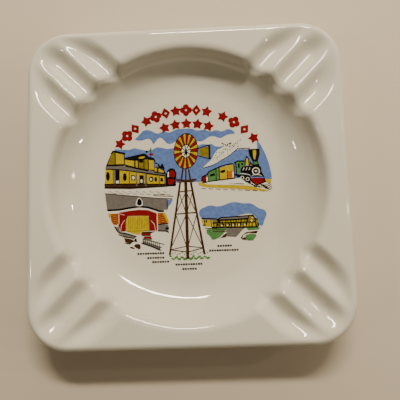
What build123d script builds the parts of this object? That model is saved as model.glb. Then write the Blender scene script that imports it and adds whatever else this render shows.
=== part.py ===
from build123d import *
from math import cos, radians, sin, sqrt, tan
import os

# A square souvenir dish in glazed ceramic: a wide flat rim, a round well, three
# cigarette rests across each corner, and a picture fired on the floor of the well.
# Millimetres. +Z is up, the origin is the middle of the footprint on the table,
# and +Y points to the top of the picture.

# ---------------------------------------------------------------- body
WIDTH = 133.0            # across the rim, before its edge is rounded
HEIGHT = 22.0            # table to rim
CORNER_R = 17.5          # plan radius of the corners
SKIRT_TAPER = 5.0        # degrees, the skirt draws in towards the foot
RIM_EDGE_R = 3.0         # rounding along the outside of the rim
FOOT_EDGE_R = 1.0        # rounding along the outside of the foot
WALL = 5.0               # cast wall
HOLLOW_TOP = 12.0        # roof of the hollow under the rim, above the table

WELL_R = 56.8            # well at rim level
WELL_DEPTH = 14.0
WELL_ARC_R = 16.0        # the wall sweeps into the floor on this radius
WELL_SLOPE = 78.0        # degrees, slope of the wall where it meets the rim

REST_PITCH = 12.3        # between neighbouring grooves
REST_R = 7.2             # round section of a groove
REST_DEPTH = 3.9
REST_INSET = 3.0         # grooves stop this far inside the outline
REST_LENGTH = 60.0       # long enough to cross the rim at a corner
CREST_R = 1.0            # rounding of the ridge between two grooves
MOUTH_R = 0.8            # rounding where grooves and well meet the rim

GLAZE = 0.4              # thickness of the glassy coat
BARE_FOOT = 0.8          # height of the foot that is left unglazed

CORNER_FROM = 52.0       # the fired body is divided into its middle and four corners here
CORNER_HALF = 19.6       # reach of a corner to both sides of its diagonal
CORNER_NAMES = ("north_east", "north_west", "south_west", "south_east")

FLOOR_Z = HEIGHT - WELL_DEPTH
ABOVE = 10.0             # cutters run this far past the rim

# ---------------------------------------------------------------- picture
INK = 0.08               # fired ink stands this far above the glaze
DISC_R = 36.8            # the picture is trimmed to this circle

TITLE_CENTRE_Y = -4.1    # both rows of ornaments bend about this point
TITLE_R = 38.5
TITLE_SIZE = 5.25
TITLE_GROUPS = ((-51.0, 3, 7.2), (-27.6, 7, 6.9), (25.0, 4, 8.4))
SECOND_R = 32.3
SECOND_PITCH = 8.8
SECOND_COUNT = 5

WHEEL_CENTRE = (-0.6, 15.8)
WHEEL_HALF = (5.3, 7.9)  # the wheel is seen at a slant
WHEEL_TILT = -5.0
WHEEL_HUB = 0.36         # share of the wheel that is hub
BLADES = 26

MARK_PITCH = 1.08        # dashes and dots of the caption rows
MARK_LENGTH = 0.84
MARK_HEIGHT = 0.84

OUTLINE = 0.45           # drawn lines
FINE = 0.34
THICK = 0.8


# ================================================================ ceramic
def well_line(grow):
    """Points of the well's half section, with its surface moved out by grow."""
    slope = radians(WELL_SLOPE)
    arc = WELL_ARC_R + grow
    centre_z = FLOOR_Z + WELL_ARC_R
    start_z = centre_z - WELL_ARC_R * cos(slope)
    start_r = WELL_R - (HEIGHT - start_z) / tan(slope)
    centre_r = start_r - WELL_ARC_R * sin(slope)
    wall = (centre_r + arc * sin(slope), centre_z - arc * cos(slope))
    middle = (centre_r + arc * sin(slope / 2), centre_z - arc * cos(slope / 2))
    floor = (centre_r, centre_z - arc)
    rise = HEIGHT + ABOVE - wall[1]
    top = (wall[0] + rise / tan(slope), HEIGHT + ABOVE)
    return floor, middle, wall, top


def bowl(grow):
    """The well as a solid, from its floor to above the rim."""
    floor, middle, wall, top = well_line(grow)
    with BuildPart() as well:
        with BuildSketch(Plane.XZ):
            with BuildLine():
                Line((0, floor[1]), floor)
                ThreePointArc(floor, middle, wall)
                Line(wall, top)
                Polyline(top, (0, top[1]), (0, floor[1]))
            make_face()
        revolve(axis=Axis.Z)
    return well.part


def corner_rests(grow):
    """The three grooves of every corner: round channels that end in a scoop
    which follows the outline."""
    side = WIDTH - 2 * REST_INSET + 2 * grow
    bottom = HEIGHT - REST_DEPTH - grow
    with BuildPart() as channels:
        for corner in range(4):
            turn = 45 + 90 * corner
            start = Vector(WELL_R - REST_DEPTH * 4, 0, bottom + REST_R + grow).rotate(Axis.Z, turn)
            along = Vector(1, 0, 0).rotate(Axis.Z, turn)
            across = Vector(0, 1, 0).rotate(Axis.Z, turn)
            with BuildSketch(Plane(origin=start, x_dir=across, z_dir=along)):
                with Locations((-REST_PITCH, 0), (0, 0), (REST_PITCH, 0)):
                    Circle(REST_R + grow)
            extrude(amount=REST_LENGTH)
    with BuildPart() as rests:
        with BuildSketch(Plane.XY.offset(bottom)):
            RectangleRounded(side, side, CORNER_R - REST_INSET + grow)
        extrude(amount=REST_DEPTH + grow + ABOVE)
        fillet(rests.faces().sort_by(Axis.Z)[0].edges(), REST_DEPTH + grow)
        add(channels.part, mode=Mode.INTERSECT)
    return rests.part


def underside(grow):
    """The hollow below: it follows the well's wall and leaves a standing skirt."""
    drawn_in = HEIGHT * tan(radians(SKIRT_TAPER))
    side = WIDTH - 2 * drawn_in - 2 * WALL + 2 * grow
    with BuildPart() as hollow:
        with BuildSketch():
            RectangleRounded(side, side, CORNER_R - drawn_in - WALL + grow)
        extrude(amount=HOLLOW_TOP + grow, taper=-SKIRT_TAPER)
        add(bowl(WALL - grow), mode=Mode.SUBTRACT)
    return hollow.part


def on_ridge(edge):
    """A straight edge between two grooves."""
    level = HEIGHT - REST_DEPTH < edge.center().Z < HEIGHT - CREST_R / 5
    return edge.geom_type == GeomType.LINE and level and edge.length > 2 * REST_PITCH


def on_mouth(edge):
    """An edge along the well's lip, a groove's inner end or a groove's side."""
    box = edge.bounding_box()
    middle = edge.position_at(0.5)
    from_axis = sqrt(middle.X ** 2 + middle.Y ** 2)
    lip = from_axis < WELL_R + MOUTH_R and box.min.Z > HEIGHT - REST_DEPTH - 2 * GLAZE
    flat_out = max(abs(middle.X), abs(middle.Y)) < WIDTH / 2 - REST_INSET + GLAZE
    return lip or (middle.Z > HEIGHT - GLAZE - 0.01 and flat_out)


def dish(inset):
    """The whole dish, with every surface drawn in by inset."""
    side = WIDTH - 2 * inset
    with BuildPart() as body:
        with BuildSketch(Plane.XY.offset(HEIGHT - inset)):
            RectangleRounded(side, side, CORNER_R - inset)
        extrude(amount=inset - HEIGHT, taper=SKIRT_TAPER)
        fillet(body.faces().sort_by(Axis.Z)[-1].edges(), RIM_EDGE_R)
        fillet(body.faces().sort_by(Axis.Z)[0].edges(), FOOT_EDGE_R)
        add(underside(inset), mode=Mode.SUBTRACT)
        add(bowl(inset), mode=Mode.SUBTRACT)
        add(corner_rests(inset), mode=Mode.SUBTRACT)
        fillet(body.edges().filter_by(on_ridge), CREST_R)
        fillet(body.edges().filter_by(on_mouth), MOUTH_R)
    return body.part


def corner_region(corner, low, high):
    """The room of one corner, between two lines parallel to its diagonal."""
    turned = Plane.XY.rotated((0, 0, 45 + 90 * corner))
    with BuildPart() as region:
        with BuildSketch(turned):
            box(CORNER_FROM, WIDTH, low, high)
        extrude(amount=HEIGHT)
    return region.part


def corner_of(body, corner):
    """One corner of the fired body, divided along the bottoms of its grooves."""
    lines = (-CORNER_HALF, -REST_PITCH, 0, REST_PITCH, CORNER_HALF)
    strips = []
    for low, high in zip(lines, lines[1:]):
        with BuildPart() as strip:
            add(body)
            add(corner_region(corner, low, high), mode=Mode.INTERSECT)
        strips.extend(strip.part.solids())
    return strips


def middle_of(body):
    """The fired body without its corners: the bowl and the four straight sides."""
    with BuildPart() as middle:
        add(body)
        for corner in range(4):
            add(corner_region(corner, -CORNER_HALF, CORNER_HALF), mode=Mode.SUBTRACT)
    return middle.part


# ================================================================ drawing helpers
def area(*points, mode=Mode.ADD):
    """A straight-sided patch, added to the sketch being drawn or cut from it."""
    Polygon(*points, align=None, mode=mode)


def blob(*points, mode=Mode.ADD):
    """A patch with one smooth closed edge through the points."""
    with BuildLine() as edge:
        Spline(*points, periodic=True)
    make_face(edge.edges(), mode=mode)


def stroke(width, *points):
    """A pen line of one width through the points."""
    with BuildLine() as path:
        Polyline(*points)
    trace(path.edges(), line_width=width)


def spot(x, y, half_width, half_height, tilt=0):
    """An oval mark."""
    with Locations((x, y)):
        Ellipse(half_width, half_height, rotation=tilt)


def box(x_low, x_high, y_low, y_high):
    """An upright rectangle between two sides."""
    with Locations(((x_low + x_high) / 2, (y_low + y_high) / 2)):
        Rectangle(x_high - x_low, y_high - y_low)


# ================================================================ title rows
def star(size):
    """A five-pointed star with stout arms."""
    outer = size / 2
    inner = outer * 0.56
    points = []
    for tip in range(10):
        reach = outer if tip % 2 == 0 else inner
        turn = radians(90 + 36 * tip)
        points.append((reach * cos(turn), reach * sin(turn)))
    Polygon(*points, align=None)


def lozenge(size):
    """A diamond with a pierced middle."""
    half = size / 2
    Polygon((0, half), (half * 0.8, 0), (0, -half), (-half * 0.8, 0), align=None)
    Circle(size * 0.09, mode=Mode.SUBTRACT)


def rosette(size):
    """Four petals round a pierced middle."""
    petal = size * 0.26
    with PolarLocations(petal, 4):
        Circle(petal)
    Circle(size * 0.09, mode=Mode.SUBTRACT)


def on_bend(radius, turn):
    """A place on a bent row, turned to stand square to it."""
    x = radius * sin(radians(turn))
    y = TITLE_CENTRE_Y + radius * cos(radians(turn))
    return Location((x, y, 0), (0, 0, -turn))


def title_row():
    """Fourteen ornaments in three groups along the top of the picture."""
    shapes = (star, rosette, lozenge)
    drawn = []
    for shape in shapes:
        with BuildSketch() as one:
            shape(TITLE_SIZE)
        drawn.append(one.sketch)
    with BuildSketch() as row:
        for first, count, pitch in TITLE_GROUPS:
            for place in range(count):
                spot_on_row = on_bend(TITLE_R, first + place * pitch)
                add(drawn[place % 3].moved(spot_on_row))
    return row.sketch


def second_row():
    """Five stars below the title."""
    with BuildSketch() as one:
        star(TITLE_SIZE)
    with BuildSketch() as row:
        for place in range(SECOND_COUNT):
            turn = (place - (SECOND_COUNT - 1) / 2) * SECOND_PITCH
            add(one.sketch.moved(on_bend(SECOND_R, turn)))
    return row.sketch


def caption_marks():
    """Rows of small dashes and dots where a caption would stand."""
    rows = ((-17.2, -28.7, 12.0), (-15.1, -30.6, 8.0), (-13.0, -32.4, 8.0),
            (-0.8, -33.8, 12.0), (-0.6, -35.8, 6.8),
            (14.9, -26.4, 7.0), (14.5, -28.3, 13.0))
    with BuildSketch() as marks:
        for x, y, length in rows:
            count = int(length / MARK_PITCH)
            for place in range(count):
                along = x + (place - (count - 1) / 2) * MARK_PITCH
                with Locations((along, y)):
                    if place % 3 == 2:
                        Circle(MARK_HEIGHT / 2)
                    else:
                        Rectangle(MARK_LENGTH, MARK_HEIGHT)
    return marks.sketch


# ================================================================ windmill
def on_wheel(share, turn):
    """A point of the slanted wheel: share of its half size, turn in degrees."""
    x = WHEEL_HALF[0] * share * cos(radians(turn))
    y = WHEEL_HALF[1] * share * sin(radians(turn))
    tilt = radians(WHEEL_TILT)
    return (WHEEL_CENTRE[0] + x * cos(tilt) - y * sin(tilt),
            WHEEL_CENTRE[1] + x * sin(tilt) + y * cos(tilt))


def wheel_blades(first):
    """Every second blade of the wheel, starting with blade number first."""
    step = 360 / BLADES
    with BuildSketch() as blades:
        for blade in range(first, BLADES, 2):
            near = blade * step
            far = near + step * 0.84
            bulge = on_wheel(0.99, (near + far) / 2)
            area(on_wheel(WHEEL_HUB + 0.04, near + 2), on_wheel(0.96, near), bulge,
                 on_wheel(0.96, far), on_wheel(WHEEL_HUB + 0.04, far - 2))
    return blades.sketch


def wheel_edge(share):
    """Corners of the wheel's outline, two to a blade."""
    return [on_wheel(share, turn * 180 / BLADES) for turn in range(2 * BLADES)]


def wheel_back():
    """The dark rings, gaps and spokes that the blades are set in."""
    with BuildSketch() as back:
        area(*wheel_edge(1.03))
        area(*wheel_edge(WHEEL_HUB), mode=Mode.SUBTRACT)
        for spoke in range(8):
            stroke(FINE, WHEEL_CENTRE, on_wheel(WHEEL_HUB, 20 + 45 * spoke))
        spot(WHEEL_CENTRE[0], WHEEL_CENTRE[1] - 0.8, 0.65, 0.9)
    return back.sketch


def vane():
    """The tail vane and its dark frame."""
    with BuildSketch() as sheet:
        area((5.3, 16.6), (9.4, 17.7), (9.4, 12.4), (5.4, 13.6))
    with BuildSketch() as frame:
        stroke(OUTLINE, (4.6, 16.7), (9.4, 18.1))
        stroke(OUTLINE, (4.6, 13.5), (9.4, 12.0))
        stroke(THICK, (9.8, 18.4), (9.8, 11.7))
    return sheet.sketch, frame.sketch


def tower():
    """Three legs under a platform, with rails and crossed braces between them."""
    left = ((-3.5, 2.2), (-9.0, -29.8))
    middle = ((-1.1, 2.2), (-1.2, -31.6))
    right = ((1.1, 2.2), (6.1, -29.8))

    def along(leg, y):
        share = (leg[0][1] - y) / (leg[0][1] - leg[1][1])
        return (leg[0][0] + share * (leg[1][0] - leg[0][0]), y)

    with BuildSketch() as legs:
        stroke(0.85, *left)
        stroke(0.95, *right)
        stroke(1.35, *middle)
        stroke(0.9, (-5.3, 3.1), (-1.0, 2.5), (3.6, 2.9))
        stroke(0.4, (-4.8, 2.1), (2.6, 2.0))
        stroke(0.75, (-3.0, 2.8), (-2.2, 7.8))
        stroke(0.75, (1.0, 2.8), (0.3, 7.8))
        stroke(0.6, (-1.0, 2.8), (-0.9, 7.8))
    with BuildSketch() as braces:
        for high, low in ((-2.3, -12.0), (-12.0, -27.0)):
            for side, lean in ((left, 0.4), (right, 0.0)):
                stroke(FINE, along(side, high), along(middle, low - lean))
                stroke(FINE, along(middle, high), along(side, low))
        for level in (-2.3, -12.0):
            stroke(0.5, along(left, level), along(middle, level + 0.3), along(right, level + 0.4))
        stroke(0.4, along(left, -27.4), along(middle, -28.6), along(right, -27.0))
        stroke(FINE, along(left, -27.4), (-1.3, -26.0), along(right, -27.0))
    return legs.sketch, braces.sketch


def grass():
    """Tufts along the foot of the tower."""
    with BuildSketch() as tufts:
        for tuft in range(26):
            x = -8.6 + 0.66 * tuft
            y = -30.2 - 1.3 * abs(sin(2.3 * tuft)) - 0.02 * (9 - abs(x))
            spot(x, y, 0.52 + 0.12 * cos(5 * tuft), 0.36 + 0.2 * abs(sin(3 * tuft)), 40 * sin(tuft))
        for tuft in range(16):
            x = -7.6 + 1.0 * tuft
            spot(x, -29.1 + 0.5 * sin(2.1 * tuft), 0.36, 0.24, 30 * cos(tuft))
    return tufts.sketch


# ================================================================ sky and smoke
def wide_sky():
    """The upper sky, trimmed to the round edge, with bare clouds left in it."""
    with BuildSketch() as sky:
        Circle(DISC_R)
        with BuildSketch(mode=Mode.INTERSECT):
            area((-40, 1.9), (37, 1.9), (37, 20), (-40, 20))
        with BuildSketch(mode=Mode.SUBTRACT):
            area((-40, 20.5), (-40, 17.9), (-32, 18.0), (-30, 17.7), (-26, 17.3), (-23.5, 18.1),
                 (-21, 17.4), (-18, 16.6), (-15.5, 16.9), (-13.5, 18.1), (-11.5, 17.8),
                 (-9, 17.1), (-7, 17.3), (-4, 17.5), (3, 18.3), (5.2, 18.2), (7, 18.7),
                 (9.5, 18.4), (11, 18.6), (12.2, 17.5), (14.5, 17.2), (16.5, 17.6),
                 (20, 20.5))
        with BuildSketch(mode=Mode.SUBTRACT):
            area((5.9, 7.5), (8.4, 9.8), (10.6, 11.8), (12.2, 14.6), (13.6, 16.0), (15.6, 16.9),
                 (16.2, 20.5), (30.9, 20.5), (30.9, 15.4), (26.4, 15.5), (23.4, 15.7), (21.4, 15.2),
                 (18.8, 13.2), (15.4, 11.1), (12.6, 9.8), (8.2, 8.2))
        blob((-23.0, 22.3), (-20.6, 24.6), (-18.6, 26.0), (-15.6, 25.4), (-12.6, 24.3), (-10.4, 25.1),
             (-8.0, 24.5), (-5.0, 25.6), (-1.6, 25.9), (2.2, 25.8), (5.2, 24.9), (8.0, 25.1),
             (10.6, 24.2), (13.2, 24.7), (15.4, 24.1), (18.0, 24.9), (20.2, 24.5), (21.4, 23.2),
             (18.2, 22.5), (14.8, 21.1), (12.2, 22.0), (9.4, 21.6), (7.2, 20.2), (4.6, 20.0),
             (0.0, 20.6), (-4.4, 20.8), (-6.2, 19.7), (-8.6, 19.5), (-10.4, 21.4), (-11.8, 22.3),
             (-13.4, 21.4), (-15.0, 19.6), (-15.9, 21.3), (-18.0, 22.0), (-20.4, 21.4))
    return sky.sketch


def smoke_flecks():
    """Dark flecks along the edge of the plume and through it."""
    with BuildSketch() as flecks:
        for fleck in range(22):
            share = fleck / 21
            x = 6.8 + 15.5 * share
            y = 7.9 + 1.6 * share + 6.4 * share ** 1.6
            spot(x, y + 0.12 * sin(7 * fleck), 0.5, 0.17, 26 + 14 * sin(3 * fleck))
        for fleck in range(9):
            spot(22.6 + 0.62 * fleck, 16.0 + 0.15 * sin(4 * fleck), 0.36, 0.2, -4)
        for fleck in range(44):
            share = fleck / 43
            x = 10.6 + 12.6 * share + 1.3 * sin(5.1 * fleck)
            y = 11.4 + 7.6 * share + 1.1 * sin(2.7 * fleck + 1)
            spot(x, y, 0.2 + 0.1 * abs(sin(fleck)), 0.15, 60 * sin(2 * fleck))
        for fleck in range(16):
            spot(15.5 + 1.0 * sin(2.9 * fleck) + 0.3 * fleck, 17.2 + 1.5 * abs(cos(1.7 * fleck)), 0.28, 0.2,
                 50 * cos(fleck))
    return flecks.sketch


# ================================================================ street front
def street_front():
    """A row of false-fronted wooden buildings with a covered walk.
    Inks from the last printed to the first."""
    with BuildSketch() as lines:
        # roofs
        area((-34.3, 15.9), (-33.2, 17.3), (-31.8, 17.2), (-27.7, 16.1), (-27.5, 15.2), (-31.6, 16.3),
             (-32.8, 16.5), (-33.6, 15.8))
        area((-28.0, 13.2), (-27.8, 13.9), (-23.4, 14.7), (-19.4, 15.5), (-18.3, 15.1), (-17.3, 14.0),
             (-14.8, 13.2), (-14.2, 11.8), (-14.6, 10.8), (-14.9, 12.3), (-17.3, 12.8), (-18.5, 13.1),
             (-19.2, 14.4), (-21.5, 14.0), (-22.2, 12.6), (-23.8, 12.5))
        area((-14.5, 10.6), (-13.2, 10.4), (-12.9, 8.7), (-10.9, 8.0), (-10.4, 7.0), (-10.3, 8.6),
             (-10.9, 10.3), (-11.6, 10.6), (-12.0, 9.4), (-12.9, 10.6), (-14.4, 11.2))
        stroke(THICK, (-35.9, 10.7), (-32.2, 10.6), (-28.2, 10.7))
        stroke(THICK, (-27.6, 10.3), (-22.5, 8.9), (-17.4, 7.7))
        stroke(0.5, (-15.0, 7.0), (-9.4, 5.8))
        stroke(0.5, (-36.4, 9.0), (-30.6, 8.6), (-20.6, 7.0), (-9.6, 5.0))
        # corners of walls
        stroke(0.4, (-32.1, 16.6), (-32.1, 11.0))
        stroke(0.4, (-28.1, 15.6), (-28.1, 11.0))
        stroke(0.3, (-23.6, 12.6), (-23.6, 9.3))
        stroke(0.5, (-21.9, 12.4), (-21.9, 8.9))
        stroke(0.4, (-19.4, 13.0), (-19.4, 8.3))
        stroke(0.4, (-17.4, 12.8), (-17.4, 8.0))
        stroke(0.3, (-26.0, 7.4), (-26.0, 2.4))
        # windows and doors
        spot(-20.6, 12.0, 0.9, 0.7)
        spot(-35.5, 5.8, 0.85, 2.0)
        spot(-28.0, 5.2, 0.85, 1.75)
        area((-32.0, 7.4), (-30.5, 7.3), (-30.5, 4.2), (-32.0, 4.2))
        area((-25.1, 6.0), (-23.3, 5.8), (-23.3, 3.6), (-25.1, 3.6))
        area((-21.5, 5.9), (-19.6, 5.6), (-19.6, 1.9), (-21.5, 1.9))
        spot(-16.3, 3.8, 1.0, 1.15)
        spot(-14.3, 3.7, 0.6, 1.05)
        area((-12.2, 4.3), (-11.1, 4.2), (-11.1, 2.6), (-12.2, 2.6))
        # walk, barrel shed outline and flag pole
        stroke(0.5, (-37.2, 0.7), (-24.0, 0.5), (-5.6, 0.6))
        stroke(0.45, (-37.0, 2.3), (-26.0, 2.1), (-9.6, 1.3))
        area((-9.6, 0.6), (-9.7, 5.2), (-9.2, 7.2), (-8.2, 8.2), (-6.9, 8.4), (-5.7, 7.7), (-5.1, 6.2),
             (-5.2, 4.0), (-5.5, 2.8), (-5.4, 0.6))
        stroke(0.32, (-16.2, 12.9), (-16.2, 17.9))
        spot(-18.0, 16.2, 0.5, 0.55)
    with BuildSketch() as glints:
        spot(-24.2, 4.8, 0.6, 0.85)
        spot(-16.4, 3.8, 0.5, 0.6)
        spot(-20.6, 3.2, 0.5, 0.9)
        area((-31.9, 3.8), (-30.6, 3.8), (-30.6, 2.5), (-31.9, 2.5))
        area((-9.1, 4.4), (-8.4, 4.6), (-8.4, 7.0), (-9.0, 6.6))
    with BuildSketch() as red:
        blob((-8.2, 4.9), (-8.1, 6.4), (-7.2, 7.5), (-6.1, 6.9), (-5.6, 5.4), (-6.2, 4.3), (-7.3, 4.4))
        area((-9.0, 3.7), (-6.4, 3.5), (-5.9, 2.6), (-6.9, 1.2), (-8.8, 1.2))
        spot(-16.1, 14.9, 0.95, 0.6)
    with BuildSketch() as pennant:
        area((-17.3, 16.4), (-15.9, 16.2), (-15.9, 18.0), (-16.6, 17.3))
    with BuildSketch() as grey:
        area((-36.4, 10.6), (-27.6, 10.6), (-17.4, 8.0), (-14.8, 7.4), (-10.0, 6.2), (-9.7, 5.1),
             (-20.6, 7.1), (-30.6, 8.7), (-36.6, 9.1))
        for x, width, low, high in ((-32.5, 0.75, 1.8, 9.0), (-22.8, 0.6, 1.0, 7.2), (-18.8, 0.8, 1.0, 6.6),
                                    (-12.7, 0.5, 1.0, 5.4), (-10.2, 0.45, 1.0, 5.0)):
            box(x - width / 2, x + width / 2, low, high)
        area((-13.9, 10.0), (-13.0, 10.0), (-12.7, 8.9), (-13.8, 9.0))
    with BuildSketch() as base:
        area((-37.2, 2.4), (-9.2, 1.3), (-9.2, 0.2), (-26.0, -0.2), (-36.9, 0.4))
    with BuildSketch() as shade:
        area((-33.7, 16.2), (-32.3, 16.5), (-32.3, 11.0), (-35.6, 11.0))
        area((-21.7, 12.2), (-17.5, 12.9), (-17.5, 8.0), (-21.7, 8.8))
        area((-23.4, 12.3), (-22.9, 12.2), (-22.9, 9.1), (-23.4, 9.2))
        area((-33.4, 8.8), (-32.9, 8.8), (-32.9, 2.5), (-33.4, 2.5))
    with BuildSketch() as yellow:
        area((-31.9, 16.2), (-28.3, 15.3), (-28.3, 11.1), (-31.9, 11.1))
        area((-27.9, 13.0), (-23.7, 12.3), (-23.7, 9.5), (-27.9, 11.0))
        area((-22.9, 12.3), (-22.1, 12.3), (-22.1, 9.0), (-22.9, 9.1))
        area((-17.2, 12.5), (-15.1, 12.2), (-14.8, 8.0), (-17.2, 8.1))
        area((-14.6, 8.9), (-13.7, 8.6), (-13.7, 7.2), (-14.6, 7.3))
        area((-13.0, 8.4), (-10.8, 7.5), (-10.6, 6.5), (-13.0, 7.0))
        spot(-20.2, 13.7, 1.5, 0.45, 8)
        area((-36.4, 8.9), (-32.9, 8.7), (-32.9, 2.2), (-36.95, 2.3))
        area((-30.3, 8.4), (-22.9, 7.1), (-22.9, 2.0), (-30.3, 2.2))
        area((-22.6, 7.0), (-19.2, 6.4), (-19.2, 1.8), (-22.6, 1.9))
        area((-18.2, 6.1), (-12.9, 5.2), (-12.9, 1.5), (-18.2, 1.8))
        area((-12.4, 5.1), (-10.5, 4.8), (-10.5, 1.4), (-12.4, 1.5))
    with BuildSketch() as backing:
        area((-37.0, 0.5), (-36.4, 10.4), (-33.9, 16.0), (-32.8, 16.7), (-27.9, 15.6), (-27.9, 13.4),
             (-23.5, 14.4), (-19.3, 15.0), (-17.4, 13.4), (-15.0, 12.7), (-14.6, 9.0), (-13.0, 9.6),
             (-12.7, 8.5), (-10.7, 7.8), (-9.5, 5.8), (-9.5, 0.6))
    return glints.sketch, red.sketch, pennant.sketch, lines.sketch, grey.sketch, base.sketch, \
        shade.sketch, yellow.sketch, backing.sketch


# ================================================================ steam train
def train():
    """A steam engine and three cars that come down a gentle slope."""
    with BuildSketch() as lines:
        # roofs and frames of the cars
        stroke(0.6, (6.0, 2.0), (6.3, 4.0), (8.4, 5.0), (9.4, 6.3), (13.6, 8.0), (16.5, 8.9), (20.0, 9.4))
        stroke(0.55, (6.2, 1.5), (9.0, 1.7), (13.6, 2.3), (17.2, 2.6), (20.6, 2.9))
        stroke(0.35, (8.8, 4.9), (8.8, 1.7))
        stroke(0.4, (13.8, 8.0), (13.8, 2.4))
        stroke(0.3, (12.4, 7.4), (12.4, 2.4))
        stroke(0.5, (20.3, 9.4), (20.5, 3.0))
        stroke(0.3, (17.3, 6.4), (17.3, 2.6))
        area((9.7, 4.9), (11.8, 5.5), (11.8, 4.4), (9.7, 3.9))
        area((14.2, 6.4), (16.4, 6.9), (16.4, 5.9), (15.4, 5.4), (14.2, 5.5))
        # cab
        stroke(0.6, (20.4, 9.6), (22.0, 10.4), (25.2, 10.3))
        stroke(0.5, (21.2, 9.8), (21.3, 4.4))
        area((22.1, 9.3), (22.9, 9.4), (22.9, 7.4), (22.1, 7.3))
        area((23.6, 9.6), (24.4, 9.5), (24.4, 8.5), (23.6, 8.4))
        # boiler, saddle and front
        area((23.0, 5.2), (23.3, 7.3), (24.4, 8.0), (28.2, 8.1), (28.9, 8.9), (30.9, 8.6), (32.2, 7.2),
             (32.4, 5.2), (33.6, 2.9), (32.4, 3.1), (28.0, 3.2), (27.4, 4.2), (25.4, 4.9))
        stroke(0.5, (20.6, 4.6), (23.2, 4.2), (26.9, 3.8))
        area((20.5, 4.2), (21.8, 3.2), (23.0, 3.1), (24.4, 1.9), (25.4, 0.9), (27.4, 0.4), (27.4, 3.9),
             (24.6, 4.3), (22.4, 4.3))
        # domes and funnel
        stroke(0.45, (25.2, 8.2), (25.5, 10.8), (26.1, 12.4), (26.9, 11.3), (27.1, 8.2))
        stroke(0.45, (27.3, 8.0), (27.7, 9.7), (28.3, 8.4))
        area((26.9, 15.6), (31.9, 15.6), (31.9, 13.2), (30.9, 10.0), (31.5, 8.1), (28.4, 8.1),
             (28.6, 10.0), (27.2, 13.0))
        area((28.9, 15.0), (30.4, 15.1), (30.3, 13.0), (29.8, 10.9), (29.2, 10.9), (28.9, 12.8),
             mode=Mode.SUBTRACT)
        area((29.0, 9.9), (30.6, 9.9), (30.9, 8.7), (29.0, 8.7), mode=Mode.SUBTRACT)
        # beam, pilot outline and rails
        stroke(0.5, (27.3, 2.9), (28.0, 0.9), (30.0, -0.5), (33.8, 0.9), (33.2, 2.7))
        stroke(0.45, (26.4, 0.6), (29.4, -0.9), (31.4, -1.2))
        for drop in range(4):
            y = -0.7 - 0.65 * drop
            stroke(0.32, (30.8 + 0.9 * drop, y + 0.7), (33.6 + 0.7 * drop, y), (36.0 + 0.2 * drop, y + 0.9))
        stroke(0.3, (13.5, 1.0), (18.0, 0.7), (24.5, 0.2))
    with BuildSketch() as glints:
        with Locations((29.9, 5.7)):
            Circle(1.75)
            Circle(1.25, mode=Mode.SUBTRACT)
            Circle(0.5)
        for bar in range(3):
            stroke(0.28, (24.2 + 1.3 * bar, 6.2), (24.8 + 1.3 * bar, 7.5))
        stroke(0.3, (28.0, 3.7), (29.0, 4.1), (31.2, 4.0), (32.4, 3.6))
        with Locations((26.1, 2.3), (23.8, 3.0)):
            Circle(0.85)
            Circle(0.5, mode=Mode.SUBTRACT)
        stroke(0.3, (23.0, 5.0), (25.4, 4.6), (27.2, 4.1))
    with BuildSketch() as white_side:
        area((8.0, 3.9), (8.7, 4.2), (8.7, 2.0), (8.0, 1.9))
        area((19.5, 5.8), (20.2, 6.0), (20.2, 3.2), (19.5, 3.2))
    with BuildSketch() as red:
        area((6.3, 3.9), (8.2, 4.7), (8.2, 1.7), (6.3, 1.7))
        area((28.2, 2.8), (33.0, 2.6), (33.5, 1.1), (30.1, -0.3), (28.3, 1.0), (27.7, 2.2))
    with BuildSketch() as rust:
        area((17.5, 6.1), (19.6, 6.3), (19.6, 3.0), (17.5, 2.8))
    with BuildSketch() as green:
        area((8.9, 5.3), (9.6, 6.4), (13.8, 7.9), (13.8, 2.5), (8.9, 1.9))
        area((20.9, 9.5), (22.0, 10.2), (25.3, 10.1), (25.4, 8.2), (24.2, 7.8), (23.1, 7.2), (22.9, 4.6),
             (20.9, 5.6))
        area((28.7, 10.3), (31.0, 10.3), (31.4, 8.4), (28.6, 8.3))
        stroke(0.4, (23.0, 4.7), (26.8, 4.2))
    with BuildSketch() as yellow:
        area((14.0, 7.7), (17.0, 8.6), (20.1, 9.0), (20.1, 3.0), (14.0, 2.5))
        area((25.4, 8.3), (25.8, 10.6), (26.2, 11.8), (26.8, 10.9), (26.9, 8.3))
        area((27.4, 8.2), (27.7, 9.3), (28.2, 8.2))
        area((28.7, 15.0), (30.6, 15.2), (30.5, 13.0), (29.9, 10.9), (29.0, 11.0), (28.8, 12.8))
    with BuildSketch() as steam:
        area((8.2, 1.6), (14.0, 2.1), (19.0, 2.5), (22.6, 3.0), (24.4, 1.6), (25.4, 0.6), (9.0, 0.5))
    with BuildSketch() as band:
        area((4.4, 1.7), (6.2, 1.5), (8.0, 0.7), (12.0, 0.3), (20.0, -0.1), (26.0, -0.5), (29.5, -1.5),
             (33.0, -2.4), (36.2, -3.4), (34.0, -3.3), (27.0, -2.5), (20.0, -1.7), (12.0, -1.1),
             (7.0, -0.5), (4.7, 0.4))
        area((33.8, 2.0), (36.4, 2.0), (36.2, 0.2), (34.4, 0.4), (33.5, 1.1))
    with BuildSketch() as earth:
        for dash in range(13):
            x = 7.0 + 2.15 * dash
            stroke(0.34, (x, 0.45 - 0.075 * (x - 7)), (x + 1.6, 0.33 - 0.075 * (x - 7)))
        for dash in range(9):
            x = 5.6 + 3.2 * dash
            stroke(0.24, (x, -1.15 - 0.075 * (x - 6)), (x + 2.1, -1.3 - 0.08 * (x - 6)))
    return lines.sketch, glints.sketch, white_side.sketch, red.sketch, rust.sketch, green.sketch, \
        yellow.sketch, steam.sketch, band.sketch, earth.sketch


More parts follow.
